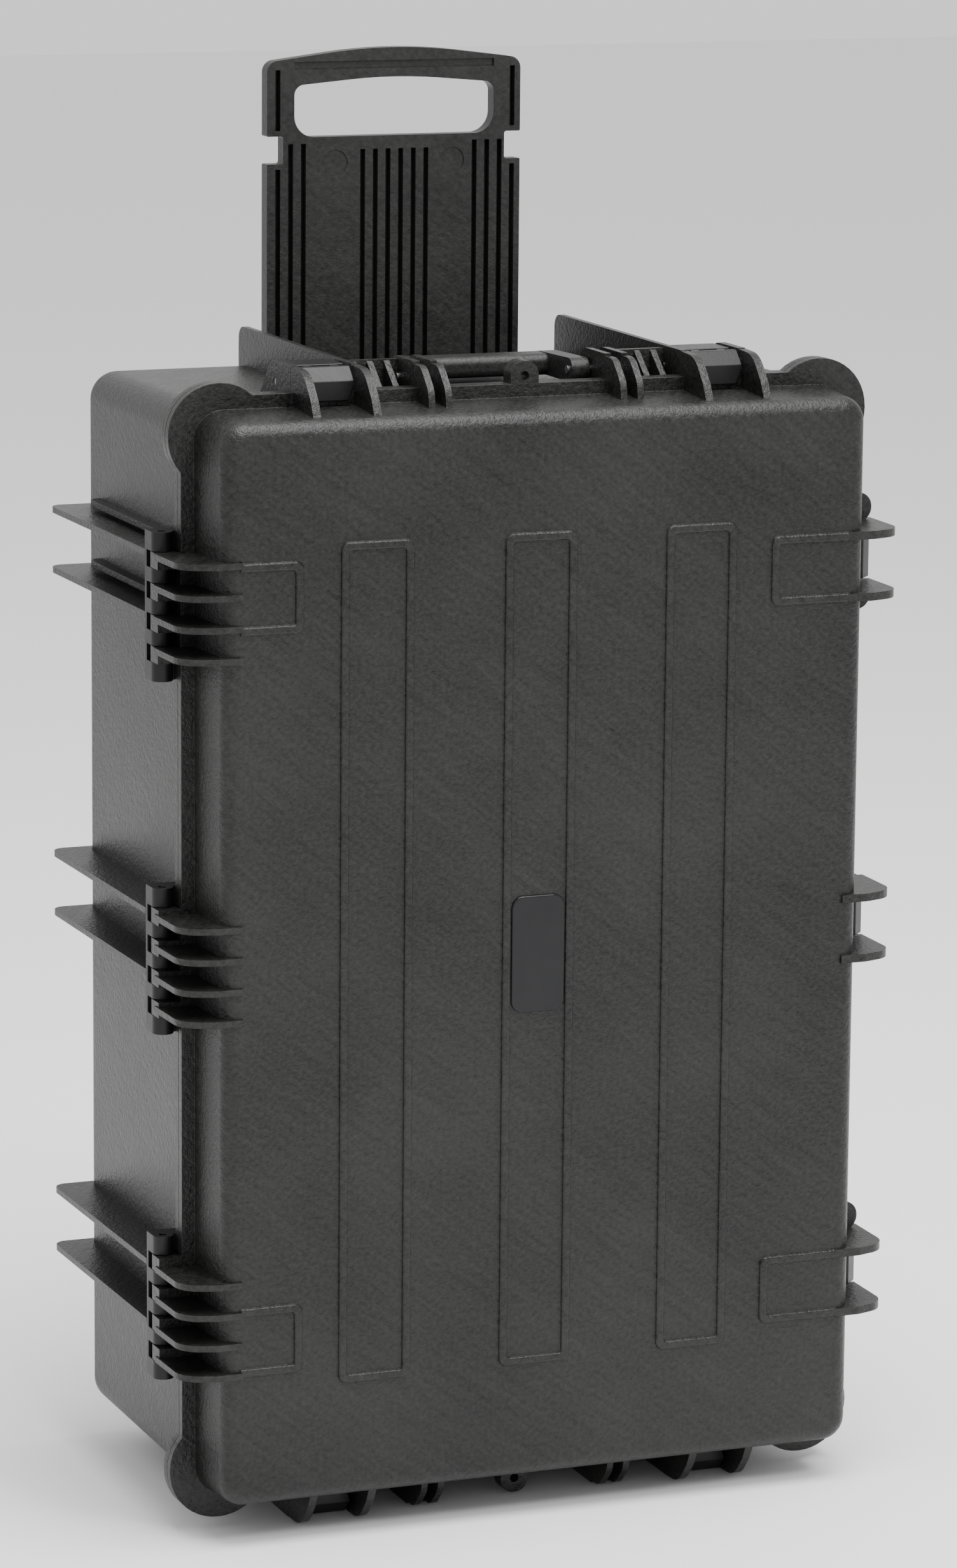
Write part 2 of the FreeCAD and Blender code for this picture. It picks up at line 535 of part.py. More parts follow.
# latches: a claw hooks over the lid's flange and hangs on a lever that turns on the base fins
hookDeep = "lidDeep - flangeThick - clawGap"
clawPivot = "lidDeep + clawDeep"
leverPivot = "lidDeep + pivotDeep"
clawSide = profile("clawSide", [(f"{hookDeep} - clawThick", "3", "1"),
                                (f"{hookDeep} - clawThick", "17.5", "2"),
                                ("lidDeep - 2", "finReach - 1", "2"),
                                (f"{clawPivot} - eyeRound - 1", "finReach - 1", "1"),
                                (f"{clawPivot} - eyeRound - 1", "flangeReach + 0.8", None),
                                (hookDeep, "flangeReach + 0.8", None), (hookDeep, "3", "1")])
clawFront = profile("clawFront", [("-clawWide / 2", "finReach + 4", None), ("-clawWide / 2", "15", "2"),
                                  ("-clawWide / 2 + 5", "2", None), ("clawWide / 2 - 5", "2", None),
                                  ("clawWide / 2", "15", "2"), ("clawWide / 2", "finReach + 4", None)])
armSide = profile("armSide", [(f"{clawPivot} - eyeRound", "clawOut - eyeRound", "eyeRound - 0.8"),
                              (f"{leverPivot} + leverEye", "pivotOut - leverEye", "leverEye - 0.8"),
                              (f"{leverPivot} + leverEye", "pivotOut + leverEye + 1", "5"),
                              (f"{clawPivot} + 24", "finReach - 1.5", "3"),
                              (f"{clawPivot} + 3", "finReach - 1.5", None),
                              (f"{clawPivot} - eyeRound", "clawOut + eyeRound", "eyeRound - 0.8")])
coverSide = profile("coverSide", [(f"{clawPivot} + 2", "finReach - 2 - coverThick + 1", "0.8"),
                                  (f"{clawPivot} + 2 + coverLong - 2", "finReach - 2 - coverThick + 1", None),
                                  (f"{clawPivot} + 2 + coverLong", "finReach - coverThick - 5", "1"),
                                  (f"{clawPivot} + 2 + coverLong + 2", "finReach - coverThick - 3", "1"),
                                  (f"{clawPivot} + 2 + coverLong", "finReach - 1", "2.5"),
                                  (f"{clawPivot} + 2", "finReach - 1", "0.8")])
pivotPins = []
for name, (wall, along) in latches.items():
    body = doc.addObject("Part::MultiCommon", f"clawBody_{name}")
    plan = plate(f"clawPlan_{name}", clawFront, "clawThick + 35", f"{hookDeep} + 33", wall, along)
    body.Shapes = [ribs(f"clawBlank_{name}", clawSide, "clawWide", wall, along), plan]
    eye = rod(f"clawEye_{name}", "clawEye", "eyeWide", Vector(1, 0, 0), "-eyeWide / 2", clawPivot,
              "clawOut", wall, along)
    neck = box(f"clawNeck_{name}", ("-eyeWide / 2", "eyeWide"),
               (f"{clawPivot} - eyeRound - 2", "eyeRound + 2"),
               ("clawOut - clawEye", "2 * clawEye"), wall, along)
    clawBore = rod(f"clawBore_{name}", "clawPin + pinPlay", "eyeWide + 2", Vector(1, 0, 0),
                   "-eyeWide / 2 - 1",
                   clawPivot, "clawOut", wall, along)
    publish(cut(f"claw_{name}", fuse(f"clawSolid_{name}", [body, eye, neck]), [clawBore]),
            f"latch_claw_{name}")
    armAt = "eyeWide / 2 + sidePlay + armWide / 2"
    arms = [ribs(f"arm_{name}_{side + 1}", armSide, "armWide", wall,
                 f"{along} + {side} * ({armAt})") for side in (-1, 1)]
    cover = ribs(f"cover_{name}", coverSide, "clawWide", wall, along)
    bores = [rod(f"leverBore_{name}", "pivotPin + pinPlay", "clawWide + 4", Vector(1, 0, 0),
                 "-clawWide / 2 - 2",
                 leverPivot, "pivotOut", wall, along),
             rod(f"clawPinBore_{name}", "clawPin + pinPlay", "clawWide + 4", Vector(1, 0, 0),
                 "-clawWide / 2 - 2",
                 clawPivot, "clawOut", wall, along)]
    publish(cut(f"lever_{name}", fuse(f"leverSolid_{name}", [*arms, cover]), bores), f"latch_lever_{name}")
    reach = "eyeWide / 2 + sidePlay + armWide - 0.5"
    publish(rod(f"clawRod_{name}", "clawPin", f"2 * ({reach})", Vector(1, 0, 0), f"-({reach})", clawPivot,
                "clawOut", wall, along), f"latch_claw_pin_{name}")
    pivotPins.append(rod(f"pivotRod_{name}", "pivotPin", "2 * latchHalf + finThick - 1", Vector(1, 0, 0),
                         "-latchHalf - finThick / 2 + 0.5", leverPivot, "pivotOut", wall, along))
publish(group("pivotRods", pivotPins), "latch_pivot_pins")

# carry handles on both short ends, folded back on pins in their brackets
handlePivot = "lidDeep + handleDeep"
gripAt = f"{handlePivot} + gripBack"
gripFoot = "handleOut - handleEye"
handleArm = profile("handleArm", [(f"{handlePivot} - handleEye", gripFoot, "handleEye - 1"),
                                  (f"{gripAt} + gripDeep / 2", gripFoot, "gripRound"),
                                  (f"{gripAt} + gripDeep / 2", f"{gripFoot} + gripHigh", "gripRound"),
                                  (f"{handlePivot} - handleEye", "handleOut + handleEye", "handleEye - 1")])
gripSide = profile("gripSide", [(f"{gripAt} - gripDeep / 2", gripFoot, "gripRound"),
                                (f"{gripAt} + gripDeep / 2", gripFoot, "gripRound"),
                                (f"{gripAt} + gripDeep / 2", f"{gripFoot} + gripHigh", "gripRound"),
                                (f"{gripAt} - gripDeep / 2", f"{gripFoot} + gripHigh", "gripRound")])
for wall in ("top", "bottom"):
    pieces = [ribs(f"grip_{wall}", gripSide, "2 * handleHalf - 4", wall, "0")]
    pieces += [ribs(f"handleArm_{wall}_{side + 1}", handleArm, "armThick", wall,
                    f"{side} * (handleHalf - armThick / 2)")
               for side in (-1, 1)]
    bore = rod(f"armBore_{wall}", "handlePin + pinPlay", "2 * handleHalf + 4", Vector(1, 0, 0),
               "-handleHalf - 2",
               handlePivot, "handleOut", wall)
    publish(cut(f"handle_{wall}", fuse(f"handleSolid_{wall}", pieces), [bore]), f"carry_handle_{wall}")
    inner = "handleHalf - armThick - 1"
    pins = [rod(f"handleRod_{wall}_{side + 1}", "handlePin", f"{pinReach} - ({inner})", Vector(1, 0, 0),
                inner if side > 0 else f"-({pinReach})", handlePivot, "handleOut", wall) for side in (-1, 1)]
    publish(group(f"handleRods_{wall}", pins), f"handle_pins_{wall}")

# trolley handle: a flat ribbed board that slides in a guide on the base's back
boardFace = f"{backFace} + boardBack"
boardCrest = f"{endWall} + boardRise"
boardPlan = profile("boardPlan", [("-boardHalf", "boardRise - boardLong", "3"),
                                  ("boardHalf", "boardRise - boardLong", "3"),
                                  ("boardHalf", "boardRise - notchDrop - notchTall", "1"),
                                  ("boardHalf - notchDeep", "boardRise - notchDrop - notchTall", "2"),
                                  ("boardHalf - notchDeep", "boardRise - notchDrop", "2"),
                                  ("boardHalf", "boardRise - notchDrop", "1"),
                                  ("boardHalf", "boardRise - boardCrown", "9"), ("0", "boardRise + 3", "420"),
                                  ("-boardHalf", "boardRise - boardCrown", "9"),
                                  ("-boardHalf", "boardRise - notchDrop", "1"),
                                  ("-boardHalf + notchDeep", "boardRise - notchDrop", "2"),
                                  ("-boardHalf + notchDeep", "boardRise - notchDrop - notchTall", "2"),
                                  ("-boardHalf", "boardRise - notchDrop - notchTall", "1")],
                    [("-openHalf", "boardRise - openTop - openTall - 3", "16"),
                     ("openHalf", "boardRise - openTop - openTall - 3", "16"),
                     ("openHalf", "boardRise - openTop - 4", "8"), ("0", "boardRise - openTop + 3", "420"),
                     ("-openHalf", "boardRise - openTop - 4", "8")])
board = plate("boardBlank", boardPlan, "boardThick", f"{boardFace} + boardThick", level=endWall)
slots = []
slotFoot = f"{endWall} + boardRise - boardLong + 12"
belowOpening = "openTop + openTall + 3"
belowNotch = "notchDrop + notchTall + 4"
columns = [(f"({step} - 0.5) * slotPitch", f"{belowOpening} + 10") for step in (-2, -1, 0, 1, 2, 3)]
columns += [(f"-slotLeft + {step} * slotPitch",
             f"{belowOpening} + 5" if step else belowNotch) for step in (0, 1, 2)]
columns += [(f"slotRight - {step} * slotPitch",
             f"{belowOpening} + 5" if step else belowNotch) for step in (0, 1, 2, 3)]
for index, (x, drop) in enumerate(columns):
    slots.append(box(f"slot{index}", (f"{x} - slotWide / 2", "slotWide"),
                     (f"{boardFace} - 1", "slotDeep + 1"),
                     (slotFoot, f"{endWall} + boardRise - ({drop}) - ({slotFoot})")))
for index, x in enumerate(("-slotLeft", "slotRight")):
    slots.append(box(f"edgeSlot{index}", (f"{x} - slotWide / 2", "slotWide"),
                     (f"{boardFace} - 1", "slotDeep + 1"),
                     (f"{endWall} + boardRise - notchDrop + 4", "notchDrop - 20")))
slots.append(box("gripSlot", ("-openHalf", "2 * openHalf"), (f"{boardFace} - 1", "3"),
                 (f"{endWall} + boardRise - 16", "6")))
# shallow round marks on the two plain strips between the groups of slots
for index, x in enumerate(("-48", "47")):
    slots.append(rod(f"mark{index}", "10", "1.8", Vector(0, 1, 0), x, f"{boardFace} - 1",
                     f"{endWall} + boardRise - ({belowOpening}) - 20"))
publish(cut("board", board, slots), "trolley_board")

railHalf = "boardHalf + boardPlay"
guideFoot = f"{endWall} - guideTop - guideLong"
guide = [box("guideBlock", (f"-({railHalf}) - railThick", f"2 * ({railHalf} + railThick)"),
             (backFace, guideDeep),
             (guideFoot, "guideLong")),
         box("guideFlange", (f"-({railHalf}) - railThick - 20", f"2 * ({railHalf} + railThick + 20)"),
             (backFace, "4"),
             (f"{guideFoot} - 36", "guideLong + 36"))]
hollows = [box("guideSlot", (f"-({railHalf})", f"2 * ({railHalf})"),
               (f"{boardFace} - boardPlay", "boardThick + 2 * boardPlay"),
               (f"{guideFoot} + 5", "guideLong")),
           box("guideRelief", (f"-({railHalf}) + 12", f"2 * ({railHalf} - 12)"),
               (f"{backFace} - 1", "boardBack + 1"),
               (f"{guideFoot} + 5", "guideLong"))]
for index, (x, z) in enumerate(screwSpots):
    hollows.append(rod(f"guideBore{index}", "screwRound + pinPlay", "12", Vector(0, 1, 0), x,
                       f"{backFace} - 2", z))
publish(cut("guide", fuse("guideBlank", guide), hollows), "trolley_guide")
screws = []
for index, (x, z) in enumerate(screwSpots):
    shank = rod(f"screwShank{index}", "screwRound", "wallThick + 5", Vector(0, 1, 0), x,
                f"{backFace} - wallThick - 1", z)
    head = rod(f"screwHead{index}", "screwHead", "3", Vector(0, 1, 0), x, f"{backFace} + 4", z)
    screws.append(fuse(f"screw{index}", [shank, head]))
publish(group("screws", screws), "guide_screws")

# wheels on stub axles across the wells
for side, name in ((-1, "left"), (1, "right")):
    x = f"{side} * wheelAt"
    publish(rod(f"axleRod_{name}", "axleRound", "wellWide + 2 * wallThick - 1", Vector(1, 0, 0),
                f"{x} - wellWide / 2 - wallThick + 0.5", axleDeep, axleLevel), f"axle_{name}")
    rim = rod(f"rim_{name}", "wheelRound - tyreThick", "wheelWide", Vector(1, 0, 0), f"{x} - wheelWide / 2",
              axleDeep, axleLevel)
    dishes = []
    for face in (-1, 1):
        start = f"{x} + wheelWide / 2 - 6" if face > 0 else f"{x} - wheelWide / 2 - 1"
        dish = rod(f"dish_{name}_{face + 1}", "wheelRound - tyreThick - 5", "7", Vector(1, 0, 0), start,
                   axleDeep, axleLevel)
        boss = rod(f"boss_{name}_{face + 1}", "axleRound + 5", "7", Vector(1, 0, 0), start, axleDeep,
                   axleLevel)
        dishes.append(cut(f"ring_{name}_{face + 1}", dish, [boss]))
    hubBore = rod(f"hubBore_{name}", "axleRound + pinPlay", "wheelWide + 2", Vector(1, 0, 0),
                  f"{x} - wheelWide / 2 - 1",
                  axleDeep, axleLevel)
    publish(cut(f"hub_{name}", rim, [*dishes, hubBore]), f"wheel_hub_{name}")
    tyre = rod(f"tyreBlank_{name}", "wheelRound", "wheelWide", Vector(1, 0, 0), f"{x} - wheelWide / 2",
               axleDeep, axleLevel)
    tyreEdge = doc.addObject("Part::Fillet", f"tyreEdge_{name}")
    doc.recompute()
    tyreEdge.Base = tyre
    tyreEdge.Edges = [(1, 3, 3), (3, 3, 3)]
    tyreBore = rod(f"tyreBore_{name}", "wheelRound - tyreThick", "wheelWide + 2", Vector(1, 0, 0),
                   f"{x} - wheelWide / 2 - 1",
                   axleDeep, axleLevel)
    publish(cut(f"tyre_{name}", tyreEdge, [tyreBore]), f"wheel_tyre_{name}")

doc.recompute()
for piece in doc.Objects:
    if "Invalid" in piece.State or "Error" in piece.State:
        raise ValueError(f"{piece.Name} failed: {piece.State}")
for piece in subParts:
    shape = piece.Shape
    if shape.isNull() or not shape.isValid() or not shape.Solids:
        raise ValueError(f"{piece.Label} has no valid solid")
    shape.exportStep(f"parts/{piece.Label}.step")
    print(f"{piece.Label}: {len(shape.Solids)} solids, {shape.Volume / 1000:.1f} cm3")
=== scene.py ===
import json
import math

import bmesh
import bpy
from mathutils import Matrix, Vector
from mathutils.bvhtree import BVHTree


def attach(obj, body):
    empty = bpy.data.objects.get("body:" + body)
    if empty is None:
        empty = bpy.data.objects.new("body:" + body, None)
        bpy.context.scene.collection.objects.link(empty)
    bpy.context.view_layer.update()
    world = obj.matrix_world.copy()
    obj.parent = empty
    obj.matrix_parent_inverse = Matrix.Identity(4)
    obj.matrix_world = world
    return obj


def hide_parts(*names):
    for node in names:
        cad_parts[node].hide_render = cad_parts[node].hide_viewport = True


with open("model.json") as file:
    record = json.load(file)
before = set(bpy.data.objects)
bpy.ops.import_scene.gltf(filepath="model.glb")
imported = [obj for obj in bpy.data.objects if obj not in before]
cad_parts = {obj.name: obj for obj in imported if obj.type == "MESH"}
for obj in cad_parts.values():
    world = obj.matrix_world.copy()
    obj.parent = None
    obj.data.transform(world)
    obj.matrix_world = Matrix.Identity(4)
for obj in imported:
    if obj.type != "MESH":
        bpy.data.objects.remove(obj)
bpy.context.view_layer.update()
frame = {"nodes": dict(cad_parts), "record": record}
scene = bpy.context.scene
nodes = frame["nodes"]
bodyOf = {node: body for body, names in frame["record"]["behaviour"]["bodies"].items() for node in names}
slotOf = {part["node"]: part["material_slot"] for part in frame["record"]["subparts"]}
print("frame loaded:", len(nodes), "nodes")


# shader maths written as expressions on sockets
class Value:
    def __init__(self, tree, socket):
        self.tree = tree
        self.socket = socket

    def maths(self, operation, *others, clamp=False):
        node = self.tree.nodes.new("ShaderNodeMath")
        node.operation = operation
        node.use_clamp = clamp
        for place, entry in enumerate((self, *others)):
            connect(self.tree, entry, node.inputs[place])
        return Value(self.tree, node.outputs[0])

    def __add__(self, other):
        return self.maths("ADD", other)

    def __sub__(self, other):
        return self.maths("SUBTRACT", other)

    def __mul__(self, other):
        return self.maths("MULTIPLY", other)

    def __rsub__(self, other):
        return (self * -1) + other

    __radd__ = __add__
    __rmul__ = __mul__


def connect(tree, entry, socket):
    if isinstance(entry, Value):
        tree.links.new(entry.socket, socket)
    elif entry is not None:
        socket.default_value = entry


class Shade:
    # one material's tree, with a method that adds any node
    def __init__(self, name):
        self.material = bpy.data.materials.new(name)
        self.material.use_nodes = True
        self.tree = self.material.node_tree
        self.surface = self.tree.nodes["Principled BSDF"]

    def add(self, kind, settings=None, output=0, stops=None, **values):
        node = self.tree.nodes.new(kind)
        for key, setting in (settings or {}).items():
            setattr(node, key, setting)
        if stops:
            ramp = node.color_ramp
            for element, (place, tone) in zip(ramp.elements, stops):
                element.position = place
                element.color = (tone, tone, tone, 1)
        for key, entry in values.items():
            connect(self.tree, entry, node.inputs[key.replace("_", " ")])
        return Value(self.tree, node.outputs[output])

    def noise(self, grain, detail=3, rough=0.5, turn=(0, 0, 0)):
        # grain is the pattern's size in metres along the turned axes
        where = self.add("ShaderNodeTexCoord", output=3)
        size = grain if isinstance(grain, tuple) else (grain, grain, grain)
        placed = self.add("ShaderNodeMapping", {"vector_type": "TEXTURE"},
                          Vector=where, Scale=size, Rotation=turn)
        return self.add("ShaderNodeTexNoise", Vector=placed, Scale=1, Detail=detail, Roughness=rough)

    def mix(self, factor, dark, light):
        node = self.tree.nodes.new("ShaderNodeMix")
        node.data_type = "RGBA"
        connect(self.tree, factor, node.inputs[0])
        for socket, colour in zip([s for s in node.inputs if s.type == "RGBA"], (dark, light)):
            socket.default_value = (*colour, 1)
        return Value(self.tree, next(s for s in node.outputs if s.type == "RGBA"))

    def bump(self, height, strength, distance):
        return self.add("ShaderNodeBump", Height=height, Strength=strength, Distance=distance)

    def finish(self, colour, rough, normal=None, metallic=0, coat=0, shine=0.5):
        connect(self.tree, colour, self.surface.inputs["Base Color"])
        self.surface.inputs["Specular IOR Level"].default_value = shine
        connect(self.tree, rough, self.surface.inputs["Roughness"])
        self.surface.inputs["Metallic"].default_value = metallic
        self.surface.inputs["Coat Weight"].default_value = coat
        if normal:
            connect(self.tree, normal, self.surface.inputs["Normal"])
        return self.material


# sizes in metres of the shells' patterns, along and across where a pattern is drawn out
pattern = {"fine": 0.0012, "leather": 0.0034, "cloud": 0.16, "patch": 0.09, "flow": (0.05, 0.05, 0.0026),
           "brushed": (0.085, 0.085, 0.005), "hair": (0.03, 0.03, 0.0011)}
slant = {"flow": (0.5, 0.62, 0.2), "brushed": (-0.4, 0.5, -0.3), "hair": (0.4, -0.7, 0.4)}
grainDepth = 0.0012


def mouldedPlastic(name, dark, light, rough, grain, streaks):
    # polypropylene with a fine spark-eroded grain, slanting flow streaks and light scuffs
    shade = Shade(name)
    fine = shade.noise(pattern["fine"], 2, 0.6)
    leather = shade.noise(pattern["leather"], 3, 0.62)
    cloud = shade.noise(pattern["cloud"], 4, 0.55)
    flow = shade.noise(pattern["flow"], 3, 0.6, slant["flow"])
    brushed = shade.noise(pattern["brushed"], 3, 0.65, slant["brushed"])
    hair = shade.noise(pattern["hair"], 2, 0.6, slant["hair"])
    scuff = shade.add("ShaderNodeValToRGB", Fac=hair, stops=((0.6, 0), (0.74, 1)))
    patch = shade.add("ShaderNodeValToRGB", Fac=shade.noise(pattern["patch"], 2, 0.5),
                      stops=((0.48, 0), (0.68, 1)))
    worn = scuff * patch
    tone = (cloud - 0.5) * 0.9 + (flow - 0.5) * 0.55 * streaks + (brushed - 0.5) * 0.4 * streaks \
        + (leather - 0.5) * 1.3 + worn * 0.3 * streaks + 0.42
    colour = shade.mix(tone.maths("ADD", 0.0, clamp=True), dark, light)
    roughness = (cloud - 0.5) * 0.14 + (flow - 0.5) * 0.12 * streaks + (leather - 0.5) * 0.15 \
        - worn * 0.1 + rough
    height = leather * 0.75 + fine * 0.25 + flow * 0.16 * streaks + brushed * 0.08 * streaks
    return shade.finish(colour, roughness, shade.bump(height, grain, grainDepth), shine=0.3)


def smoothPlastic(name, dark, light, rough):
    shade = Shade(name)
    cloud = shade.noise(0.045, 3)
    fine = shade.noise(0.0016, 2)
    rub = shade.noise((0.02, 0.02, 0.0012), 3, 0.6, (0.3, 0.5, 0.2))
    colour = shade.mix(cloud * 0.6 + rub * 0.4, dark, light)
    return shade.finish(colour, (cloud - 0.5) * 0.16 + (rub - 0.5) * 0.12 + rough,
                        shade.bump(fine * 0.6 + rub * 0.4, 0.18, 0.0006), shine=0.28)


def drawnSteel(name):
    shade = Shade(name)
    lines = shade.noise((0.0011, 0.025, 0.025), 3, 0.6)
    stain = shade.noise(0.033, 3)
    colour = shade.mix(stain, (0.36, 0.36, 0.37), (0.56, 0.56, 0.57))
    return shade.finish(colour, lines * 0.2 + 0.26, shade.bump(lines, 0.15, 0.0001), metallic=1)


def softRubber(name, rough):
    shade = Shade(name)
    fine = shade.noise(0.0021, 4, 0.65)
    dust = shade.noise(0.07, 4, 0.6)
    colour = shade.mix(dust, (0.012, 0.012, 0.012), (0.034, 0.033, 0.032))
    return shade.finish(colour, (dust - 0.5) * 0.12 + rough, shade.bump(fine, 0.4, 0.0006))


def domedBadge(name):
    shade = Shade(name)
    cloud = shade.noise(0.025, 2)
    colour = shade.mix(cloud, (0.006, 0.006, 0.007), (0.012, 0.012, 0.013))
    return shade.finish(colour, cloud * 0.06 + 0.12, coat=0.15, shine=0.15)


finishes = {
    "shell": mouldedPlastic("shellGrain", (0.001, 0.001, 0.001), (0.024, 0.024, 0.0228), 0.36, 0.9, 1.0),
    "handle_plastic": mouldedPlastic("handleGrain", (0.004, 0.004, 0.004), (0.026, 0.026, 0.025),
                                     0.42, 0.4, 0.5),
    "board_plastic": mouldedPlastic("boardGrain", (0.004, 0.004, 0.004), (0.024, 0.024, 0.023),
                                    0.42, 0.45, 0.9),
    "wheel_plastic": mouldedPlastic("wheelGrain", (0.008, 0.008, 0.008), (0.04, 0.04, 0.038),
                                    0.5, 0.4, 0.4),
    "hinge_plastic": smoothPlastic("hingeSatin", (0.002, 0.002, 0.002), (0.005, 0.005, 0.005), 0.42),
    "latch_plastic": smoothPlastic("latchSatin", (0.004, 0.004, 0.004), (0.011, 0.011, 0.011), 0.38),
    "badge_gloss": domedBadge("badgeDome"),
    "seal_rubber": softRubber("sealRubber", 0.72),
    "tyre_rubber": softRubber("tyreRubber", 0.8),
    "pin_steel": drawnSteel("pinSteel"),
}
for node, piece in nodes.items():
    piece.data.materials.clear()
    piece.data.materials.append(finishes[slotOf[node]])
print("materials made:", len(finishes))

# moulded edges are slightly rounded, so each plastic piece is a softened copy of its solid
sharpEdge = math.radians(38)   # edges above this angle are rounded
smoothEdge = math.radians(35)  # edges above this angle shade as edges
touching = 0.0002
rounding = {
    "lid_shell": 0.0009, "lid_ribs": 0.0011, "lid_eyelets": 0.0008,
    "base_shell": 0.0009, "base_ribs": 0.0011, "base_eyelets": 0.0008,
    "trolley_board": 0.0007, "trolley_guide": 0.0008,
    "carry_handle_top": 0.001, "carry_handle_bottom": 0.001,
    "hinge_block_upper": 0.0006, "hinge_block_middle": 0.0006, "hinge_block_lower": 0.0006,
    "wheel_hub_left": 0.0006, "wheel_hub_right": 0.0006,
}
rounding.update({node: 0.0005 for node in nodes if node.startswith(("latch_claw_", "latch_lever_"))
                 and "pin" not in node})
# edges that lie on the neighbour stay sharp, where the two are moulded in one
seats = {"lid_ribs": "lid_shell", "lid_eyelets": "lid_shell", "base_ribs": "base_shell",
         "base_eyelets": "base_shell"}
# long slotted faces keep their triangles, because one merged face would fold over its slots
unmerged = ("trolley_board", "trolley_guide")


def baked(name, mesh, kind, **settings):
    # the mesh with one modifier applied
    holder = bpy.data.objects.new(name, mesh)
    scene.collection.objects.link(holder)
    modifier = holder.modifiers.new(kind.lower(), kind)
    for key, setting in settings.items():
        setattr(modifier, key, setting)
    made = bpy.data.meshes.new_from_object(holder.evaluated_get(bpy.context.evaluated_depsgraph_get()))
    bpy.data.objects.remove(holder)
    return made


def handOver(piece, node):
    piece.data.materials.clear()
    piece.data.materials.append(finishes[slotOf[node]])
    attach(piece, bodyOf[node])
    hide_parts(node)


def softened(node, width):
    mesh = nodes[node].data.copy()
    shape = bmesh.new()
    shape.from_mesh(mesh)
    bmesh.ops.remove_doubles(shape, verts=shape.verts, dist=2e-6)
    if node not in unmerged:
        bmesh.ops.dissolve_limit(shape, angle_limit=math.radians(0.6), verts=shape.verts,
                                 edges=shape.edges)
    wall = None
    if node in seats:
        seat = nodes[seats[node]].data
        wall = BVHTree.FromPolygons([v.co for v in seat.vertices], [p.vertices for p in seat.polygons])
    weight = shape.edges.layers.float.new("bevel_weight_edge")
    for edge in shape.edges:
        crease = len(edge.link_faces) == 2 and edge.calc_face_angle(0) > sharpEdge
        seated = wall and all(wall.find_nearest(v.co)[3] < touching for v in edge.verts)
        edge[weight] = 1.0 if crease and not seated else 0.0
    shape.to_mesh(mesh)
    shape.free()
    made = baked(node + "Edges", mesh, "BEVEL", width=width, segments=2, limit_method="WEIGHT",
                 use_clamp_overlap=True, miter_outer="MITER_ARC")
    made.shade_smooth()
    made.set_sharp_from_angle(angle=smoothEdge)
    made = baked(node + "Normals", made, "WEIGHTED_NORMAL", keep_sharp=True, weight=60)
    piece = bpy.data.objects.new(node + "Moulded", made)
    scene.collection.objects.link(piece)
    handOver(piece, node)
    return piece


for node, width in rounding.items():
    softened(node, width)
print("softened pieces:", len(rounding))


# cross-head screws that hold the trolley guide, one on each of the CAD's six
screw = {"headRadius": 0.0053, "headHigh": 0.0026, "slotWide": 0.0013, "slotLong": 0.0058,
         "slotDeep": 0.0016}
topShare = 0.74  # the head's top radius over its widest


def nodeTree(name, inputs):
    tree = bpy.data.node_groups.new(name, "GeometryNodeTree")
    tree.interface.new_socket("Geometry", in_out="INPUT", socket_type="NodeSocketGeometry")
    tree.interface.new_socket("Geometry", in_out="OUTPUT", socket_type="NodeSocketGeometry")
    for label in inputs:
        tree.interface.new_socket(label, in_out="INPUT", socket_type="NodeSocketFloat")
    return tree


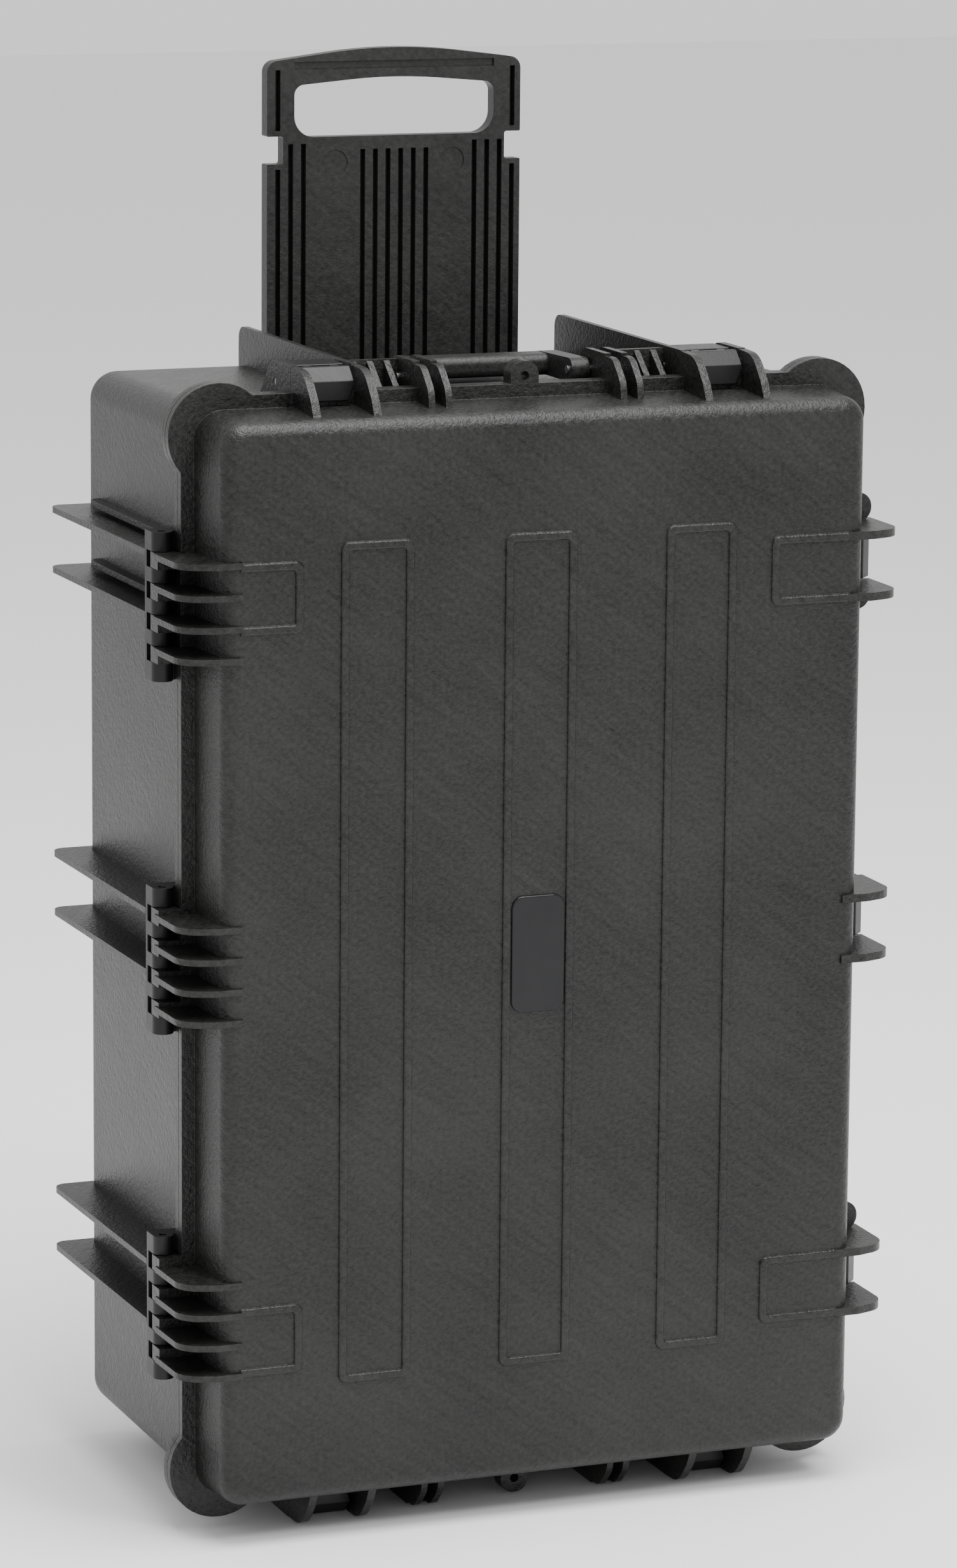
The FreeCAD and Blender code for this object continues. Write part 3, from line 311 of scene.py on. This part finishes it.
def screwTree():
    tree = nodeTree("screwHeads", screw)
    start = tree.nodes.new("NodeGroupInput")
    end = tree.nodes.new("NodeGroupOutput")

    def put(kind, settings=None, **values):
        node = tree.nodes.new(kind)
        for key, setting in (settings or {}).items():
            setattr(node, key, setting)
        for key, entry in values.items():
            socket = node.inputs[key.replace("_", " ")]
            if isinstance(entry, bpy.types.NodeSocket):
                tree.links.new(entry, socket)
            else:
                socket.default_value = entry
        return node

    # a low cone frustum with a cross cut in its face, pointing along +Z
    top = put("ShaderNodeMath", {"operation": "MULTIPLY"})
    tree.links.new(start.outputs["headRadius"], top.inputs[0])
    top.inputs[1].default_value = topShare
    head = put("GeometryNodeMeshCone", Vertices=32, Side_Segments=3, Radius_Top=top.outputs[0],
               Radius_Bottom=start.outputs["headRadius"], Depth=start.outputs["headHigh"])
    cutter = put("GeometryNodeMeshBoolean", {"operation": "UNION"})
    for long, wide in (("slotLong", "slotWide"), ("slotWide", "slotLong")):
        size = put("ShaderNodeCombineXYZ", X=start.outputs[long], Y=start.outputs[wide])
        deep = put("ShaderNodeMath", {"operation": "MULTIPLY"})
        tree.links.new(start.outputs["slotDeep"], deep.inputs[0])
        deep.inputs[1].default_value = 2
        tree.links.new(deep.outputs[0], size.inputs["Z"])
        block = put("GeometryNodeMeshCube", Size=size.outputs[0])
        lift = put("ShaderNodeCombineXYZ", Z=start.outputs["headHigh"])
        moved = put("GeometryNodeTransform", Geometry=block.outputs["Mesh"], Translation=lift.outputs[0])
        tree.links.new(moved.outputs[0], cutter.inputs["Mesh 2"])
    recessed = put("GeometryNodeMeshBoolean", {"operation": "DIFFERENCE"}, Mesh_1=head.outputs["Mesh"],
                   Mesh_2=cutter.outputs["Mesh"])
    # each head faces out of the back wall and is turned a little differently
    spin = put("FunctionNodeRandomValue", {"data_type": "FLOAT"}, Seed=4)
    spin.inputs[2].default_value = 0
    spin.inputs[3].default_value = 1.5
    tilt = put("ShaderNodeCombineXYZ", X=math.radians(-90))
    tree.links.new(spin.outputs[1], tilt.inputs["Y"])
    placed = put("GeometryNodeInstanceOnPoints", Points=start.outputs["Geometry"],
                 Instance=recessed.outputs["Mesh"], Rotation=tilt.outputs[0])
    real = put("GeometryNodeRealizeInstances", Geometry=placed.outputs[0])
    painted = put("GeometryNodeSetMaterial", Geometry=real.outputs[0], Material=finishes["pin_steel"])
    tree.links.new(painted.outputs[0], end.inputs[0])
    return tree


def islands(mesh):
    # the boxes of a mesh's separate solids
    shape = bmesh.new()
    shape.from_mesh(mesh)
    bmesh.ops.remove_doubles(shape, verts=shape.verts, dist=2e-6)
    left, boxes = set(shape.verts), []
    while left:
        group, front = set(), [left.pop()]
        while front:
            vert = front.pop()
            group.add(vert.index)
            for other in [edge.other_vert(vert) for edge in vert.link_edges]:
                if other in left:
                    left.discard(other)
                    front.append(other)
        shape.verts.ensure_lookup_table()
        corners = [shape.verts[index].co.copy() for index in group]
        boxes.append([[pick(c[axis] for c in corners) for axis in range(3)] for pick in (min, max)])
    shape.free()
    return sorted(boxes)


screwBoxes = islands(nodes["guide_screws"].data)
spots = bpy.data.meshes.new("screwSpots")
spots.from_pydata([((low[0] + high[0]) / 2, high[1] - screw["headHigh"], (low[2] + high[2]) / 2)
                   for low, high in screwBoxes], [], [])
points = bpy.data.objects.new("screwPoints", spots)
scene.collection.objects.link(points)
maker = points.modifiers.new("screws", "NODES")
maker.node_group = screwTree()
for item in maker.node_group.interface.items_tree:
    if item.item_type == "SOCKET" and item.in_out == "INPUT" and item.name in screw:
        maker[item.identifier] = screw[item.name]
screwMesh = bpy.data.meshes.new_from_object(points.evaluated_get(bpy.context.evaluated_depsgraph_get()))
bpy.data.objects.remove(points)
screws = bpy.data.objects.new("guideScrewHeads", screwMesh)
scene.collection.objects.link(screws)
handOver(screws, "guide_screws")
print("screw heads:", len(screwBoxes))

# plain pale floor, soft studio light
floorMesh = bpy.data.meshes.new("floor")
reach = 14
corners = [(-reach, -reach, 0), (reach, -reach, 0), (reach, reach, 0), (-reach, reach, 0)]
floorMesh.from_pydata(corners, [], [(0, 1, 2, 3)])
floor = bpy.data.objects.new("floor", floorMesh)
scene.collection.objects.link(floor)
paint = Shade("floorPaint")
floorMesh.materials.append(paint.finish((0.9, 0.9, 0.9, 1), 0.7))

world = bpy.data.worlds.new("studio")
world.use_nodes = True
sky = world.node_tree.nodes["Background"]
sky.inputs["Color"].default_value = (1, 1, 1, 1)
sky.inputs["Strength"].default_value = 1.05
scene.world = world

lights = {
    "key": {"at": (0.9, -2.6, 3.1), "towards": (0, 0, 1.0), "size": 0.9, "power": 60},
    "top": {"at": (0.2, -0.9, 4.2), "towards": (0, 0, 0.5), "size": 2.6, "power": 260},
}
for name, entry in lights.items():
    lamp = bpy.data.lights.new(name, "AREA")
    lamp.shape = "SQUARE"
    lamp.size = entry["size"]
    lamp.energy = entry["power"]
    holder = bpy.data.objects.new(name, lamp)
    scene.collection.objects.link(holder)
    holder.location = entry["at"]
    beam = Vector(entry["towards"]) - Vector(entry["at"])
    holder.rotation_euler = beam.to_track_quat("-Z", "Y").to_euler()

# camera
view = {"at": (-1.6245, -4.1285, 1.3945), "forward": (0.36160, 0.91223, -0.19257), "roll": 0.47,
        "lens": 137.74, "sensor": 36}
camera = bpy.data.cameras.new("camera")
camera.sensor_fit = "VERTICAL"
camera.sensor_height = view["sensor"]
camera.lens = view["lens"]
camera.clip_end = 100
eye = bpy.data.objects.new("camera", camera)
scene.collection.objects.link(eye)
aim = Vector(view["forward"]).to_track_quat("-Z", "Y").to_matrix().to_4x4()
roll = Matrix.Rotation(math.radians(view["roll"]), 4, "Z")
eye.matrix_world = Matrix.Translation(view["at"]) @ aim @ roll
scene.camera = eye
print("camera and lights set")
